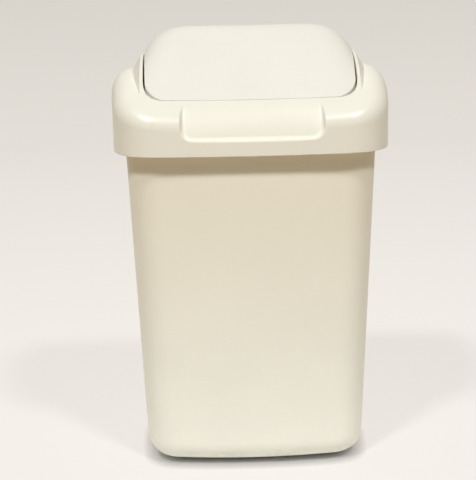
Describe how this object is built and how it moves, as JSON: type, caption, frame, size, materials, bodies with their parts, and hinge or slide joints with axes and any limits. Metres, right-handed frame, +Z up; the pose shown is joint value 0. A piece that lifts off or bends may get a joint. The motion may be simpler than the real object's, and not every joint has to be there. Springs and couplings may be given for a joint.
{
  "type": "swing-top trash can",
  "caption": "Tapered waste bin with rounded corners, an arched lift-off hood with a hand scoop, and a domed flap that swings both ways on pivot pins and hangs shut by a counterweight.",
  "frame": {"origin": "middle of the base, on the floor", "axes": "+X to the right seen from the front, +Y from the front to the rear, +Z up"},
  "size_m": [0.335, 0.262, 0.5381],
  "materials": {
    "bin_plastic": "fine-grained satin beige polypropylene",
    "lid_plastic": "smooth semi-gloss cream polypropylene",
    "flap_plastic": "smooth semi-gloss cream polypropylene",
    "pin_plastic": "plain cream acetal",
    "bar_steel": "bright drawn steel bar"
  },
  "bodies": {
    "bin": {"bin_body": "bin_plastic"},
    "hood": {"hood": "lid_plastic"},
    "flap": {"flap": "flap_plastic", "left_pivot_pin": "pin_plastic", "right_pivot_pin": "pin_plastic", "counterweight_bar": "bar_steel"}
  },
  "joints": [
    {"name": "hood_lift", "type": "slide", "parent": "bin", "child": "hood", "axis": [0, 0, 1], "range_m": [0, 0.12]},
    {"name": "flap_swing", "type": "hinge", "parent": "hood", "child": "flap", "pos_m": [0, 0, 0.492], "axis": [1, 0, 0], "range_deg": [-75, 75]}
  ]
}
